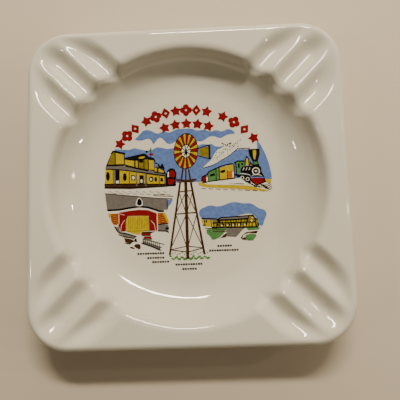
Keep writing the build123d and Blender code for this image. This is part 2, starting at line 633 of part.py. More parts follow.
# ================================================================ stage
def stage():
    """A theatre stage below a shingled wall, with drawn curtains."""
    with BuildSketch() as lines:
        stroke(THICK, (-35.9, -9.3), (-31.0, -9.2), (-26.4, -8.6), (-22.0, -8.1), (-18.0, -8.6),
               (-14.2, -9.9), (-13.2, -10.4), (-11.0, -10.5))
        stroke(0.35, (-36.8, -1.8), (-30.0, -2.7), (-22.0, -3.7), (-14.0, -4.7), (-7.2, -5.2))
        stroke(0.4, (-9.5, -5.3), (-9.5, -9.8))
        blob((-22.3, -5.0), (-21.8, -4.6), (-21.2, -5.0), (-21.1, -7.4), (-22.4, -7.4))
        stroke(0.3, (-27.0, -12.0), (-28.0, -13.6), (-28.1, -18.6))
        stroke(0.3, (-17.6, -12.2), (-17.4, -18.8))
        stroke(0.5, (-32.9, -16.3), (-31.4, -18.9), (-28.8, -19.6), (-26.0, -20.2), (-23.2, -21.3))
        stroke(0.4, (-31.2, -20.0), (-28.4, -21.2), (-24.2, -22.0))
        stroke(0.4, (-28.4, -23.8), (-26.4, -24.3), (-24.6, -23.0), (-23.0, -23.4))
        spot(-23.7, -22.7, 0.55, 0.7)
        stroke(0.5, (-13.8, -16.2), (-9.2, -16.0))
        stroke(0.5, (-13.9, -19.0), (-10.4, -19.2), (-9.1, -19.9))
        spot(-9.8, -18.1, 0.9, 0.55)
        # handrail
        stroke(0.55, (-21.2, -24.0), (-17.0, -25.6), (-12.8, -27.5))
        stroke(0.35, (-20.6, -22.4), (-16.0, -23.6), (-11.2, -25.0))
        for post in range(9):
            x = -20.3 + 0.86 * post
            stroke(0.26, (x, -22.6 - 0.28 * (x + 20.3)), (x, -24.2 - 0.4 * (x + 20.3)))
        stroke(0.4, (-20.9, -20.8), (-17.0, -20.8))
        stroke(0.3, (-20.4, -22.0), (-16.6, -22.9))
    with BuildSketch() as frame:
        blob((-22.8, -5.0), (-21.8, -4.1), (-20.8, -5.0), (-20.6, -7.7), (-23.0, -7.7))
        blob((-22.3, -5.0), (-21.8, -4.6), (-21.2, -5.0), (-21.1, -7.4), (-22.4, -7.4),
             mode=Mode.SUBTRACT)
        stroke(0.42, (-29.6, -9.9), (-26.0, -9.4), (-22.0, -9.0), (-18.6, -9.3), (-14.4, -10.8))
        stroke(0.26, (-30.6, -10.9), (-28.4, -11.6))
        stroke(0.26, (-28.3, -13.7), (-29.8, -15.8), (-30.2, -18.4))
        stroke(0.26, (-16.9, -14.3), (-15.4, -15.9), (-14.9, -18.8))
        stroke(0.26, (-14.2, -12.4), (-14.0, -18.7))
        stroke(0.26, (-30.9, -11.0), (-30.9, -15.4))
    with BuildSketch() as wall:
        area((-36.9, -1.9), (-30.0, -2.8), (-22.0, -3.8), (-14.0, -4.8), (-9.6, -5.2), (-9.6, -9.9),
             (-14.0, -10.0), (-18.0, -8.7), (-22.0, -8.2), (-31.0, -9.3), (-36.0, -9.4))
    with BuildSketch() as red:
        area((-30.8, -10.4), (-26.0, -9.8), (-22.0, -9.5), (-18.0, -9.8), (-14.2, -11.3), (-14.0, -18.8),
             (-17.3, -18.9), (-17.6, -12.3), (-22.4, -12.1), (-26.9, -12.1), (-28.1, -13.8),
             (-28.2, -18.7), (-30.2, -18.8), (-31.2, -16.2), (-30.7, -14.0))
        area((-20.9, -19.9), (-17.0, -20.1), (-17.0, -20.6), (-20.9, -20.6))
        area((-20.2, -21.2), (-16.9, -21.2), (-16.4, -22.6), (-20.0, -21.9))
    with BuildSketch() as folds:
        for fold in range(12):
            x = -26.6 + 0.78 * fold
            stroke(0.2, (x, -12.6 - 0.5 * abs(sin(fold))), (x + 0.12 * sin(2 * fold), -18.0))
        stroke(0.3, (-27.6, -18.7), (-17.6, -18.8))
    with BuildSketch() as backcloth:
        area((-26.8, -12.2), (-17.7, -12.3), (-17.5, -18.9), (-20.4, -19.0), (-22.2, -20.5),
             (-24.6, -19.9), (-27.8, -18.8), (-27.9, -13.9))
        area((-35.6, -10.8), (-34.6, -10.8), (-34.6, -12.4), (-35.2, -12.7))
        area((-10.9, -11.1), (-9.9, -12.4), (-8.9, -15.6), (-9.6, -15.6), (-11.6, -11.4))
    with BuildSketch() as orange:
        area((-34.6, -10.8), (-31.0, -10.8), (-31.0, -15.2), (-32.0, -15.9), (-33.2, -15.7), (-34.3, -14.2))
        area((-13.8, -11.2), (-11.6, -11.2), (-10.6, -13.2), (-9.4, -15.8), (-13.9, -15.9))
    with BuildSketch() as lattice:
        for rung in range(6):
            y = -10.9 - 0.95 * rung
            stroke(0.2, (-34.6, y), (-30.8, y - 1.1))
            stroke(0.2, (-34.6, y - 1.1), (-30.8, y))
            stroke(0.2, (-13.7, y - 0.4), (-9.4, y - 1.5))
            stroke(0.2, (-13.7, y - 1.5), (-9.4, y - 0.4))
        add(orange.sketch, mode=Mode.INTERSECT)
    with BuildSketch() as floor:
        area((-32.8, -16.6), (-31.2, -16.6), (-30.4, -18.9), (-28.0, -19.3), (-23.4, -21.0), (-23.9, -21.9),
             (-28.4, -21.0), (-31.0, -19.6), (-32.2, -18.2))
        area((-13.8, -16.5), (-9.4, -16.4), (-9.0, -17.6), (-9.2, -19.6), (-13.8, -18.7))
        area((-20.6, -22.9), (-12.0, -26.2), (-13.6, -26.9), (-20.6, -24.0))
    with BuildSketch() as ground:
        area((-28.8, -21.6), (-25.2, -22.3), (-24.6, -23.0), (-26.4, -24.1), (-28.2, -23.4))
        blob((-24.4, -25.0), (-23.0, -24.4), (-21.8, -24.8), (-21.9, -26.6), (-23.6, -26.0))
        area((-20.9, -19.2), (-15.0, -19.2), (-17.0, -20.0), (-21.4, -20.6))
        spot(-25.2, -26.0, 1.1, 0.35, -20)
    with BuildSketch() as shingles:
        for run in range(9):
            x = -35.2 + 3.0 * run
            stroke(0.2, (x, -0.9 - 0.12 * run), (x + 1.5, -1.35 - 0.12 * run))
            stroke(0.2, (x + 1.6, -1.75 - 0.19 * run), (x + 3.4, -2.0 - 0.19 * run))
        stroke(0.3, (-15.6, -3.4), (-11.0, -3.9), (-6.6, -4.1))
        stroke(0.24, (-14.0, -2.8), (-10.0, -3.2))
    with BuildSketch() as sky:
        area((-9.3, -5.5), (-7.0, -5.5), (-7.6, -7.0), (-9.3, -8.9))
    return lines.sketch, frame.sketch, wall.sketch, red.sketch, folds.sketch, backcloth.sketch, \
        lattice.sketch, orange.sketch, floor.sketch, ground.sketch, shingles.sketch, sky.sketch


# ================================================================ long house
def long_house():
    """A long two-storey house with galleries, on grass below a patch of sky."""
    with BuildSketch() as lines:
        stroke(0.5, (5.2, -14.2), (8.6, -14.4), (12.4, -14.8), (13.8, -14.2), (20.0, -14.0), (25.8, -13.7),
               (27.6, -13.6), (28.6, -15.0), (29.7, -15.6))
        stroke(0.7, (12.0, -15.3), (19.0, -15.3), (25.6, -15.0))
        stroke(0.45, (10.0, -16.4), (18.0, -16.5), (28.6, -16.5))
        stroke(0.55, (9.6, -18.4), (18.0, -18.6), (29.8, -18.8))
        stroke(0.45, (25.8, -14.0), (25.0, -16.6))
        stroke(0.5, (28.4, -15.0), (28.9, -18.6))
        stroke(0.5, (29.7, -17.0), (29.9, -18.6))
        for post in range(14):
            x = 10.6 + 1.27 * post
            box(x - 0.2, x + 0.2, -18.5, -16.5)
        for window in range(11):
            x = 13.2 + 1.18 * window
            box(x - 0.16, x + 0.16, -16.4, -15.3)
        for window in range(6):
            x = 12.2 + 2.5 * window
            spot(x, -17.3, 0.42, 0.5)
        stroke(0.4, (6.4, -14.9), (6.8, -17.6))
        spot(6.1, -17.2, 0.4, 0.3)
        spot(7.3, -15.6, 0.35, 0.6)
        stroke(0.35, (9.4, -15.0), (9.7, -18.2))
        area((12.0, -14.9), (13.4, -14.9), (13.0, -16.4), (12.2, -16.4))
    with BuildSketch() as glints:
        spot(27.0, -15.9, 0.35, 0.55)
        spot(27.4, -14.6, 0.4, 0.28)
        for mark in range(5):
            spot(14.0 + 2.5 * mark, -17.6, 0.34, 0.42)
    with BuildSketch() as roof:
        area((5.6, -14.5), (12.2, -15.0), (13.9, -14.4), (25.6, -13.9), (25.4, -15.0), (12.4, -15.3),
             (9.6, -15.2), (5.8, -14.9))
    with BuildSketch() as shade:
        area((9.9, -15.2), (25.2, -15.2), (25.8, -13.8), (27.6, -13.7), (29.6, -15.8), (29.8, -18.7),
             (9.9, -18.4))
    with BuildSketch() as yellow:
        area((5.2, -15.0), (9.4, -15.2), (9.5, -17.9), (7.4, -17.8), (5.9, -17.6))
        box(9.9, 11.3, -17.9, -17.0)
        for pane in range(5):
            box(14.0 + 2.2 * pane, 15.4 + 2.2 * pane, -16.2, -15.5)
        for pane in range(6):
            box(20.2 + 1.45 * pane, 21.3 + 1.45 * pane, -18.3, -17.1)
    with BuildSketch() as path:
        area((15.8, -18.9), (24.0, -19.0), (22.6, -20.0), (21.4, -21.4), (20.0, -22.8), (15.8, -22.4),
             (16.2, -20.9))
    with BuildSketch() as earth:
        stroke(0.4, (10.0, -20.2), (15.4, -20.4), (17.4, -20.0))
        stroke(0.3, (9.8, -19.4), (16.0, -19.6))
        area((13.2, -23.0), (15.4, -22.8), (16.2, -21.6), (18.2, -21.2), (18.4, -20.2), (16.6, -20.6),
             (14.8, -21.6))
        area((22.6, -23.4), (23.2, -22.0), (25.6, -21.2), (28.8, -21.6), (29.6, -20.4), (27.0, -20.6),
             (24.4, -20.9), (22.6, -22.2), (22.0, -23.2), (22.4, -24.0), (24.2, -24.3), (23.9, -22.9))
        stroke(0.35, (6.6, -18.6), (12.0, -18.9))
    with BuildSketch() as grass_patch:
        area((7.2, -19.2), (10.0, -18.7), (16.0, -18.9), (15.4, -19.8), (14.6, -21.2), (12.8, -22.8),
             (10.4, -23.7), (9.6, -23.6), (8.6, -22.0), (7.4, -20.9))
        area((24.4, -18.9), (30.6, -19.0), (30.2, -19.9), (25.4, -20.1))
        area((24.2, -22.2), (26.4, -21.5), (28.6, -21.9), (28.8, -22.6), (27.2, -24.6), (25.0, -24.5),
             (23.8, -23.8))
    with BuildSketch() as sky:
        blob((4.3, -12.0), (5.0, -10.3), (6.6, -9.5), (9.2, -8.7), (12.0, -9.2), (16.0, -8.5), (20.0, -7.6),
             (24.0, -8.3), (26.6, -8.4), (28.8, -9.5), (30.6, -10.7), (32.8, -11.6), (33.6, -13.6),
             (32.6, -15.8), (31.4, -18.2), (30.2, -18.0), (29.4, -15.6), (27.8, -13.4), (20.0, -13.8),
             (13.6, -14.2), (5.4, -14.0))
    return lines.sketch, glints.sketch, roof.sketch, yellow.sketch, shade.sketch, path.sketch, \
        earth.sketch, grass_patch.sketch, sky.sketch


# ================================================================ printing
def print_scene(layers):
    """Cut every ink by those printed over it. Layers run from the last printed
    to the first, each a (name, sketch); a name of None is bare glaze."""
    printed = []
    for place, (name, ink) in enumerate(layers):
        if name is None:
            continue
        with BuildSketch() as patch:
            add(ink)
            for over in layers[:place]:
                add(over[1], mode=Mode.SUBTRACT)
        printed.append((name, patch.sketch))
    return printed


def fire(name, flat):
    """Stand the patches of one ink on the glazed floor and write them."""
    with BuildPart() as ink:
        with BuildSketch(Plane.XY.offset(FLOOR_Z)):
            add(flat)
        extrude(amount=INK)
    ink.part.label = name
    export_step(ink.part, f"parts/{name}.step")


def picture():
    """Every ink of the picture, trimmed so that no two overlap."""
    title = title_row()
    second = second_row()
    back = wheel_back()
    sheet, sheet_frame = vane()
    legs, braces = tower()
    mill = [("windmill_blades_red", wheel_blades(0)), ("windmill_blades_yellow", wheel_blades(1)),
            ("windmill_rings_and_spokes", back), ("windmill_vane", sheet),
            ("windmill_vane_frame", sheet_frame), ("tower_legs", legs), ("tower_braces", braces)]
    with BuildSketch() as hub:
        area(*wheel_edge(WHEEL_HUB))
    front = street_front()
    front_names = (None, "street_front_red", "street_front_pennant", "street_front_lines",
                   "street_front_grey", "street_front_base", "street_front_shaded_walls",
                   "street_front_walls", "street_front_backing")
    cars = train()
    car_names = ("train_lines", None, None, "train_red", "train_rust_door", "train_green",
                 "train_yellow", None, "trackside_yellow", "trackside_brown")
    theatre = stage()
    theatre_names = ("stage_lines", None, "stage_wall", "stage_curtains", "stage_backcloth_folds",
                     "stage_backcloth", "stage_lattice", "stage_side_panels", "stage_floor",
                     "stage_ground", "stage_shingles", "stage_sky")
    house = long_house()
    house_names = ("long_house_lines", None, "long_house_roof", "long_house_yellow_walls",
                   "long_house_shaded_walls", "long_house_path", "long_house_earth",
                   "long_house_grass", "long_house_sky")
    upper = [("title_ornaments", title), ("second_row_stars", second)] + mill + [(None, hub.sketch)]
    upper += lift_marks(zip(front_names, front))
    upper += lift_marks(zip(car_names, cars))
    upper += [("smoke_flecks", smoke_flecks()), ("wide_sky", wide_sky())]
    lower_left = mill[5:] + lift_marks(zip(theatre_names, theatre))
    lower_right = mill[5:] + lift_marks(zip(house_names, house))
    foot = mill[5:] + [("tower_grass", grass()), ("caption_marks", caption_marks())]
    inks = dict(print_scene(upper))
    for scene in (lower_left, lower_right, foot):
        for name, flat in print_scene(scene):
            inks.setdefault(name, flat)
    return inks


def lift_marks(layers):
    """Put the bare marks of a scene over everything else in it."""
    layers = list(layers)
    return [layer for layer in layers if layer[0] is None] + [layer for layer in layers if layer[0]]


# ================================================================ the object
os.makedirs("parts", exist_ok=True)

fired_dish = dish(0)

with BuildPart() as fired_body:
    with BuildSketch(Plane.XY):
        Rectangle(WIDTH, WIDTH)
    extrude(amount=BARE_FOOT)
    add(fired_dish, mode=Mode.INTERSECT)
    add(dish(GLAZE))

# The fired body is one piece of clay. It is written as its middle and four corners, and each
# corner as strips that meet along the bottoms of its grooves, so that convex collision
# pieces leave the grooves open.
bisque_body = middle_of(fired_body.part)
bisque_body.label = "bisque_body"
export_step(bisque_body, "parts/bisque_body.step")
for corner, corner_name in enumerate(CORNER_NAMES):
    bisque_corner = Compound(corner_of(fired_body.part, corner))
    bisque_corner.label = f"bisque_corner_{corner_name}"
    export_step(bisque_corner, f"parts/bisque_corner_{corner_name}.step")

with BuildPart() as glaze_coat:
    add(fired_dish)
    add(fired_body.part, mode=Mode.SUBTRACT)
glaze_coat.part.label = "glaze_coat"
export_step(glaze_coat.part, "parts/glaze_coat.step")

for ink_name, ink_patches in picture().items():
    fire(ink_name, ink_patches)
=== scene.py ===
import math

import bpy
import numpy as np
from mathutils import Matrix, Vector


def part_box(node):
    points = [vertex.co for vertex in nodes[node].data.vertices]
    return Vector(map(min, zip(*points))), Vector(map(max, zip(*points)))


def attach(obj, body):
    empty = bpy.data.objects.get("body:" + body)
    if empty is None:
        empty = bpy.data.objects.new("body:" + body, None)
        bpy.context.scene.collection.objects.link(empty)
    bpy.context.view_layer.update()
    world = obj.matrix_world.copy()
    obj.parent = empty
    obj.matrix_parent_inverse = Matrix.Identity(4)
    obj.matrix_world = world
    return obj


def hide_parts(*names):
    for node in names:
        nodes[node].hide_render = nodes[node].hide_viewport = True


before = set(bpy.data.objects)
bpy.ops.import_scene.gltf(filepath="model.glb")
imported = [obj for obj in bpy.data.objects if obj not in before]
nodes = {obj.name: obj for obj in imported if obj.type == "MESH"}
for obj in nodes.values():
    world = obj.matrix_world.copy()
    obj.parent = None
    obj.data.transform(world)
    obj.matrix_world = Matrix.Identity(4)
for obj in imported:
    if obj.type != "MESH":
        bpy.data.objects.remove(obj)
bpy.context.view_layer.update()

MM = 0.001
BODY = "root"

dish_low, dish_high = (Vector(corner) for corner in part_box("glaze_coat"))
foot_low = Vector(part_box("bisque_body")[0])
CLAY_NODES = sorted(name for name in nodes if name.startswith("bisque_"))
TABLE_Z = foot_low.z
RIM_Z = dish_high.z
DISH_WIDTH = dish_high.x - dish_low.x


# ---------------------------------------------------------------- dish surface
CORNER_R = 17.5 * MM          # plan radius of the corners
EDGE_R = 3.0 * MM             # rounding along the outside of the rim
SKIRT_TAPER = math.radians(5)
WELL_R = 56.8 * MM
WELL_DEPTH = 14.0 * MM
WELL_ARC_R = 16.0 * MM
WELL_SLOPE = math.radians(78)
LIP_BLEND = 3.2 * MM          # how widely the glaze rounds the lip of the well
REST_PITCH = 12.3 * MM
REST_DEPTH = 4.0 * MM
RIDGE_DROP = 0.12             # share of the depth by which a ridge lies under the rim
REST_INSET = 2.2 * MM         # grooves fade out this far inside the outline
REST_FADE = 9.5 * MM
WALL = 5.0 * MM
HOLLOW_TOP = 12.0 * MM
ROOF_R = 1.5 * MM             # glaze gathers in the angles of the hollow
BARE_FOOT = 0.8 * MM
FOOT_R = 0.9 * MM
CLAY_UNDER = 0.6 * MM         # the clay lies this far under the glaze's surface
RIM_FLAT_R = 60 * MM          # beyond this circle the rings turn towards the outline
LIP_BAND = 1.5 * MM           # fine rings reach this far past the well's edge
WAVE_FULLNESS = 0.85          # under 1 the grooves are wider than a plain cosine
FADE_SHAPE = 1.5              # over 1 a groove's outer end runs out more gently
FOOT_LAP = 0.2 * MM           # the glaze laps this far over the clay at the foot line
HALVINGS = 40                 # halvings that settle the height of the blended lip
SAME_PLACE = 0.002 * MM       # points closer than this are one point
SHARP = math.radians(40)      # edges sharper than this stay crisp
HALF = DISH_WIDTH / 2
FLOOR_Z = RIM_Z - WELL_DEPTH
ARC_Z = FLOOR_Z + WELL_ARC_R
WALL_Z = ARC_Z - WELL_ARC_R * math.cos(WELL_SLOPE)
WALL_R = WELL_R - (RIM_Z - WALL_Z) / math.tan(WELL_SLOPE)
ARC_R = WALL_R - WELL_ARC_R * math.sin(WELL_SLOPE)


def ray_to_outline(angle, half, corner):
    """Distance from the middle to a rounded square's edge, along each direction."""
    x, y = np.abs(np.cos(angle)), np.abs(np.sin(angle))
    high, low = np.maximum(x, y), np.minimum(x, y)
    straight = half / high
    centre = half - corner
    along = centre * (high + low)
    off = np.maximum(corner ** 2 - 2 * centre ** 2 + along ** 2, 0)
    return np.where(straight * low < centre, straight, along + np.sqrt(off))


def inside_by(x, y):
    """How far a point lies inside the dish's outline."""
    out_x = np.abs(x) - (HALF - CORNER_R)
    out_y = np.abs(y) - (HALF - CORNER_R)
    outside = np.hypot(np.maximum(out_x, 0), np.maximum(out_y, 0))
    return CORNER_R - outside - np.minimum(np.maximum(out_x, out_y), 0)


def groove_depth(x, y):
    """Depth of the three softly waved grooves that cross the rim at each corner."""
    across = (np.abs(x) - np.abs(y)) / math.sqrt(2)
    wave = ((1 + np.cos(2 * np.pi * across / REST_PITCH)) / 2) ** WAVE_FULLNESS
    wave = np.where(np.abs(across) < REST_PITCH, RIDGE_DROP + (1 - RIDGE_DROP) * wave, wave)
    wave = np.where(np.abs(across) < 1.5 * REST_PITCH, wave, 0)
    reach = np.clip((inside_by(x, y) - REST_INSET) / REST_FADE, 0, 1)
    return REST_DEPTH * wave * np.sin(reach * np.pi / 2) ** FADE_SHAPE


def well_height(radius):
    """Height of the well's own surface: flat floor, sweeping arc, steep wall."""
    over = np.clip(radius - ARC_R, 0, WELL_ARC_R * math.sin(WELL_SLOPE))
    arc = ARC_Z - np.sqrt(WELL_ARC_R ** 2 - over ** 2)
    return np.where(radius < WALL_R, arc, WALL_Z + (radius - WALL_R) * math.tan(WELL_SLOPE))


def top_height(x, y):
    """Height of the glazed top: the rim with its grooves, rounded over into the well."""
    rim = RIM_Z - groove_depth(x, y)
    well = well_height(np.hypot(x, y))
    high = np.minimum(rim, well)
    low = high - 3 * LIP_BLEND
    for _ in range(HALVINGS):
        middle = (low + high) / 2
        over_rim = middle - rim
        over_well = (middle - well) * math.cos(WELL_SLOPE)
        apart = np.clip(1 - np.abs(over_rim - over_well) / LIP_BLEND, 0, 1)
        above = np.maximum(over_rim, over_well) + LIP_BLEND / 4 * apart ** 2 > 0
        high = np.where(above, middle, high)
        low = np.where(above, low, middle)
    return (low + high) / 2


def outline_ring(angle, inset):
    """Plan of the dish's outline, drawn in by inset."""
    reach = ray_to_outline(angle, HALF - inset, CORNER_R - inset)
    return reach * np.cos(angle), reach * np.sin(angle)


def top_rings(angle, steps):
    """Rings over the well, its lip and the rim, from the middle outwards."""
    flat = np.linspace(0, ARC_R, 2 * steps)
    sweep = ARC_R + WELL_ARC_R * np.sin(np.linspace(0, math.radians(60), 6 * steps))[1:]
    lip = np.linspace(sweep[-1], WELL_R + LIP_BAND, 9 * steps)[1:]
    shelf = np.linspace(lip[-1], RIM_FLAT_R, 2 * steps)[1:]
    rings = [(r * np.cos(angle), r * np.sin(angle)) for r in (*flat, *sweep, *lip, *shelf)]
    inner, outer = rings[-1], outline_ring(angle, EDGE_R)
    for share in np.linspace(0, 1, 10 * steps)[1:]:
        rings.append(tuple(a + share * (b - a) for a, b in zip(inner, outer)))
    return [(x, y, top_height(x, y)) for x, y in rings]


def edge_rings(angle, steps, foot_z):
    """Rings over the rounded outer edge and down the tapered skirt."""
    rings = []
    for turn in np.linspace(0, math.pi / 2 - SKIRT_TAPER, 3 * steps)[1:]:
        x, y = outline_ring(angle, EDGE_R * (1 - math.sin(turn)))
        rings.append((x, y, RIM_Z - EDGE_R * (1 - math.cos(turn)) - groove_depth(x, y)))
    start = RIM_Z - EDGE_R * (1 - math.sin(SKIRT_TAPER))
    for z in np.linspace(start, foot_z, steps + 1)[1:]:
        drawn_in = EDGE_R * (1 - math.cos(SKIRT_TAPER)) + (start - z) * math.tan(SKIRT_TAPER)
        rings.append((*outline_ring(angle, drawn_in), z + 0 * angle))
    return rings


def hollow_rings(angle, steps, foot_z, under):
    """Rings up the inside of the skirt, over the roof and down the bowl's back.
    A positive under moves them into the clay."""
    foot_in = RIM_Z * math.tan(SKIRT_TAPER) + WALL - under
    roof_z = HOLLOW_TOP + under
    bowl_r = WELL_ARC_R + WALL - under
    meet = math.acos((ARC_Z - roof_z) / bowl_r)
    rings = []
    for z in np.linspace(foot_z, roof_z - ROOF_R, steps + 1):
        rings.append((*outline_ring(angle, foot_in - z * math.tan(SKIRT_TAPER)), z + 0 * angle))
    for turn in np.linspace(0, math.pi / 2, steps + 2)[1:]:
        drawn_in = foot_in - roof_z * math.tan(SKIRT_TAPER) + ROOF_R / 2 * (1 - math.cos(turn))
        z = roof_z - ROOF_R * (1 - math.sin(turn))
        rings.append((*outline_ring(angle, drawn_in), z + 0 * angle))
    inner_r = ARC_R + bowl_r * math.sin(meet)
    inner = inner_r * np.cos(angle), inner_r * np.sin(angle)
    outer = rings[-1][:2]
    for share in np.linspace(0, 1, steps + 2)[1:]:
        x, y = (a + share * (b - a) for a, b in zip(outer, inner))
        rings.append((x, y, roof_z + 0 * angle))
    for turn in np.linspace(meet, 0, 3 * steps)[1:]:
        r = ARC_R + bowl_r * math.sin(turn)
        z = ARC_Z - bowl_r * math.cos(turn)
        rings.append((r * np.cos(angle), r * np.sin(angle), z + 0 * angle))
    for r in (ARC_R / 2, 0.0):
        rings.append((r * np.cos(angle), r * np.sin(angle), FLOOR_Z - WALL + under + 0 * angle))
    return rings


def wrap(name, segments, ring_list):
    """A closed smooth skin: a flat grid carried onto the rings, its seam and poles merged.
    The grooves fade and blend in every direction, which extrudes and bevels can't give."""
    bpy.ops.object.select_all(action="DESELECT")
    bpy.ops.mesh.primitive_grid_add(x_subdivisions=segments, y_subdivisions=len(ring_list) - 1)
    piece = bpy.context.active_object
    piece.name = name
    places = np.array([np.stack(ring, axis=1) for ring in ring_list])
    piece.data.vertices.foreach_set("co", places.reshape(-1).astype(np.float32))
    piece.data.update()
    bpy.ops.object.mode_set(mode="EDIT")
    bpy.ops.mesh.select_all(action="SELECT")
    bpy.ops.mesh.remove_doubles(threshold=SAME_PLACE)
    bpy.ops.mesh.normals_make_consistent(inside=False)
    bpy.ops.object.mode_set(mode="OBJECT")
    bpy.ops.object.shade_smooth_by_angle(angle=SHARP)
    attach(piece, BODY)
    return piece


def glaze_skin():
    """The glassy coat, from the well over the rim to the foot line and under the dish."""
    segments = 640
    angle = np.linspace(0, 2 * math.pi, segments + 1)
    rings = top_rings(angle, 3) + edge_rings(angle, 3, BARE_FOOT)
    rings += hollow_rings(angle, 3, BARE_FOOT, 0.0)
    piece = wrap("glaze_skin", segments, rings)
    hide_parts("glaze_coat")
    return piece


def clay_body():
    """The fired clay under the glaze, bare where the dish stands."""
    segments = 320
    angle = np.linspace(0, 2 * math.pi, segments + 1)
    rings = [(x, y, z - CLAY_UNDER) for x, y, z in top_rings(angle, 2)]
    # outer side: under the glaze down to the foot line, then out to the bare foot
    for x, y, z in edge_rings(angle, 2, BARE_FOOT):
        shrink = 1 - CLAY_UNDER / HALF
        rings.append((x * shrink, y * shrink, z - CLAY_UNDER * (z > RIM_Z - EDGE_R)))
    foot_out = RIM_Z * math.tan(SKIRT_TAPER) + FOOT_LAP
    for turn in np.linspace(0, math.pi / 2, 6):
        drawn_in = foot_out + FOOT_R * (1 - math.cos(turn))
        z = TABLE_Z + FOOT_R * (1 - math.sin(turn))
        rings.append((*outline_ring(angle, drawn_in), z + 0 * angle))
    foot_in = RIM_Z * math.tan(SKIRT_TAPER) + WALL - FOOT_LAP
    for turn in np.linspace(math.pi / 2, 0, 6):
        drawn_in = foot_in - FOOT_R * (1 - math.cos(turn))
        z = TABLE_Z + FOOT_R * (1 - math.sin(turn))
        rings.append((*outline_ring(angle, drawn_in), z + 0 * angle))
    rings += hollow_rings(angle, 2, BARE_FOOT + FOOT_LAP, CLAY_UNDER)
    piece = wrap("clay_body", segments, rings)
    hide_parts(*CLAY_NODES)
    return piece


# ---------------------------------------------------------------- materials
def linear(hex_code):
    """sRGB hex to linear colour with alpha."""
    channels = [int(hex_code[i:i + 2], 16) / 255 for i in (1, 3, 5)]
    turned = [c / 12.92 if c <= 0.04045 else ((c + 0.055) / 1.055) ** 2.4 for c in channels]
    return (*turned, 1.0)


def new_material(name):
    """An empty node material with its shader and output."""
    material = bpy.data.materials.new(name)
    material.use_nodes = True
    tree = material.node_tree
    tree.nodes.clear()
    output = tree.nodes.new("ShaderNodeOutputMaterial")
    shader = tree.nodes.new("ShaderNodeBsdfPrincipled")
    tree.links.new(shader.outputs[0], output.inputs["Surface"])
    return material, tree, shader


def node(tree, kind, inputs=None, **settings):
    """Adds a node with its settings; inputs are values or sockets to link."""
    added = tree.nodes.new(kind)
    for key, value in settings.items():
        setattr(added, key, value)
    for key, value in (inputs or {}).items():
        socket = added.inputs[key]
        if isinstance(value, bpy.types.NodeSocket):
            tree.links.new(value, socket)
        else:
            socket.default_value = value
    return added


def per_metre(size_mm):
    """Pattern scale on object coordinates for a feature of this size."""
    return 1 / (size_mm * MM)


MIX_SHARE, MIX_FIRST, MIX_SECOND = 0, 6, 7      # sockets of a mix of two colours
MIX_RESULT = 2
GLASSY_IOR = 1.52             # that of common glass, for both glaze and ink


def blend(tree, share, first, second):
    """The colour between two others at this share."""
    mix = node(tree, "ShaderNodeMix", {MIX_SHARE: share, MIX_FIRST: first, MIX_SECOND: second},
               data_type="RGBA")
    return mix.outputs[MIX_RESULT]


def ivory_glaze():
    """Opaque tin-white glaze over pale clay, dipped and gloss-fired: a warm ivory
    with a clear glassy skin, a faint ripple and rare iron specks."""
    material, tree, shader = new_material("ivory_tin_glaze")
    place = node(tree, "ShaderNodeTexCoord").outputs["Object"]
    cloud = node(tree, "ShaderNodeTexNoise",
                 {"Vector": place, "Scale": per_metre(38), "Detail": 3.0})
    tone = blend(tree, cloud.outputs["Fac"], linear("#DDD9C7"), linear("#D6D0BC"))
    # each 9 mm cell has a place for a speck, and only a few cells hold one
    speck = node(tree, "ShaderNodeTexVoronoi",
                 {"Vector": place, "Scale": per_metre(9), "Randomness": 1.0})
    dot = node(tree, "ShaderNodeMapRange", {"Value": speck.outputs["Distance"], "From Min": 0.012,
                                            "From Max": 0.03, "To Min": 0.75, "To Max": 0.0})
    rare = node(tree, "ShaderNodeMath", {0: speck.outputs["Color"], 1: 0.86},
                operation="GREATER_THAN")
    shown = node(tree, "ShaderNodeMath", {0: dot.outputs[0], 1: rare.outputs[0]},
                 operation="MULTIPLY")
    colour = blend(tree, shown.outputs[0], tone, linear("#6B5A45"))
    tree.links.new(colour, shader.inputs["Base Color"])
    ripple = node(tree, "ShaderNodeTexNoise",
                  {"Vector": place, "Scale": per_metre(9), "Detail": 2.0})
    bump = node(tree, "ShaderNodeBump",
                {"Height": ripple.outputs["Fac"], "Strength": 0.05, "Distance": 0.4 * MM})
    tree.links.new(bump.outputs[0], shader.inputs["Normal"])
    shader.inputs["Roughness"].default_value = 0.035
    shader.inputs["IOR"].default_value = GLASSY_IOR
    return material


def bare_clay():
    """Fired clay wiped clean of glaze at the foot: dry, fine-grained and chalky.
    The grain is drawn at 0.5 mm, coarser than the real one, so that it shows."""
    material, tree, shader = new_material("bare_fired_clay")
    place = node(tree, "ShaderNodeTexCoord").outputs["Object"]
    grain = node(tree, "ShaderNodeTexNoise",
                 {"Vector": place, "Scale": per_metre(0.5), "Detail": 4.0})
    colour = blend(tree, grain.outputs["Fac"], linear("#D8CDB8"), linear("#C2B59C"))
    tree.links.new(colour, shader.inputs["Base Color"])
    bump = node(tree, "ShaderNodeBump",
                {"Height": grain.outputs["Fac"], "Strength": 0.3, "Distance": 0.05 * MM})
    tree.links.new(bump.outputs[0], shader.inputs["Normal"])
    shader.inputs["Roughness"].default_value = 0.85
    return material


